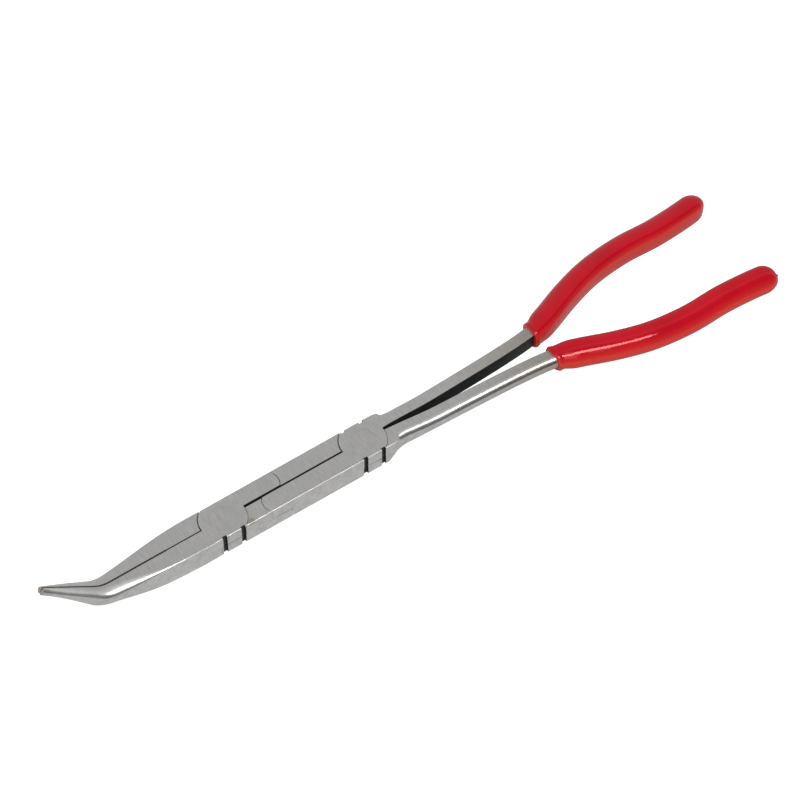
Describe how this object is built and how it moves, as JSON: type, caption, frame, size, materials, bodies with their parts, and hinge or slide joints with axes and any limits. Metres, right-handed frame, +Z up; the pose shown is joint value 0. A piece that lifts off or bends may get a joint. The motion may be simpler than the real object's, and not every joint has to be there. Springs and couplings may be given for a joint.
{
  "type": "long reach needle nose pliers",
  "caption": "Long-reach double-jointed needle-nose pliers with a bent nose, flat half-lapped steel plates, slim rods and dipped S-curved grips.",
  "frame": {"origin": "the handle pivot's axis at the underside of the flat plates", "axes": "+X from the nose to the handles, +Y to the tool's right-hand side seen from above with the nose ahead, +Z up, the way the nose is bent"},
  "size_m": [0.3318, 0.0588, 0.03],
  "materials": {
    "ground_steel": "satin cross-ground steel, dark in the hidden inner faces",
    "rivet_steel": "rivet heads ground flush with the plates",
    "red_vinyl": "glossy red dipped vinyl"
  },
  "bodies": {
    "left_handle_lever": {"left_handle": "ground_steel", "left_grip": "red_vinyl", "handle_pivot_rivet": "rivet_steel", "right_link_rivet": "rivet_steel"},
    "right_handle_lever": {"right_handle": "ground_steel", "right_grip": "red_vinyl", "left_link_rivet": "rivet_steel"},
    "left_jaw_lever": {"left_jaw": "ground_steel", "jaw_pivot_rivet": "rivet_steel"},
    "right_jaw_lever": {"right_jaw": "ground_steel"}
  },
  "joints": [
    {"name": "handle_pivot", "type": "hinge", "parent": "left_handle_lever", "child": "right_handle_lever", "pos_m": [0, 0, 0], "axis": [0, 0, 1], "range_deg": [0, 18]},
    {"name": "right_link", "type": "hinge", "parent": "left_handle_lever", "child": "left_jaw_lever", "pos_m": [-0.0429, 0.0043, 0], "axis": [0, 0, 1], "range_deg": [0, 27.3]},
    {"name": "jaw_pivot", "type": "hinge", "parent": "left_jaw_lever", "child": "right_jaw_lever", "pos_m": [-0.0647, 0, 0], "axis": [0, 0, 1], "range_deg": [-36.6, 0]}
  ],
  "couplings": [
    {"joint": "right_link", "follows": "handle_pivot", "ratio": 1.515},
    {"joint": "jaw_pivot", "follows": "handle_pivot", "ratio": -2.03}
  ]
}
